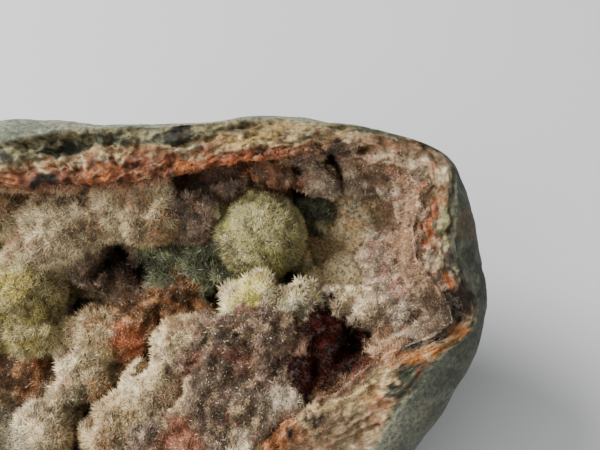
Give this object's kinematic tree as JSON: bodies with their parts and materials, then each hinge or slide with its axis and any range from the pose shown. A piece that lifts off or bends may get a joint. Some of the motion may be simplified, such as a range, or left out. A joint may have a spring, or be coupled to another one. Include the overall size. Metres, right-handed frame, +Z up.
{
  "type": "aragonite geode specimen",
  "caption": "Weathered rounded stone broken open on one side, its hollow lined with round fuzzy clusters of aragonite needles in cream, green, mauve and rust.",
  "frame": {"origin": "middle of the specimen's bounding box, on the worn flat that it rests on", "axes": "+Z up as it lies, +X along its length, -Y towards the viewer of the open hollow"},
  "size_m": [0.102, 0.0666, 0.0602],
  "materials": {
    "host_stone": "weathered grey-green skin, broken rim in cream, tan and rust",
    "crystal_crust": "fine needles with a soft sparkle, cream to green, mauve and rust"
  },
  "bodies": {
    "root": {"host_stone": "host_stone", "crystal_crust": "crystal_crust"}
  },
  "joints": []
}
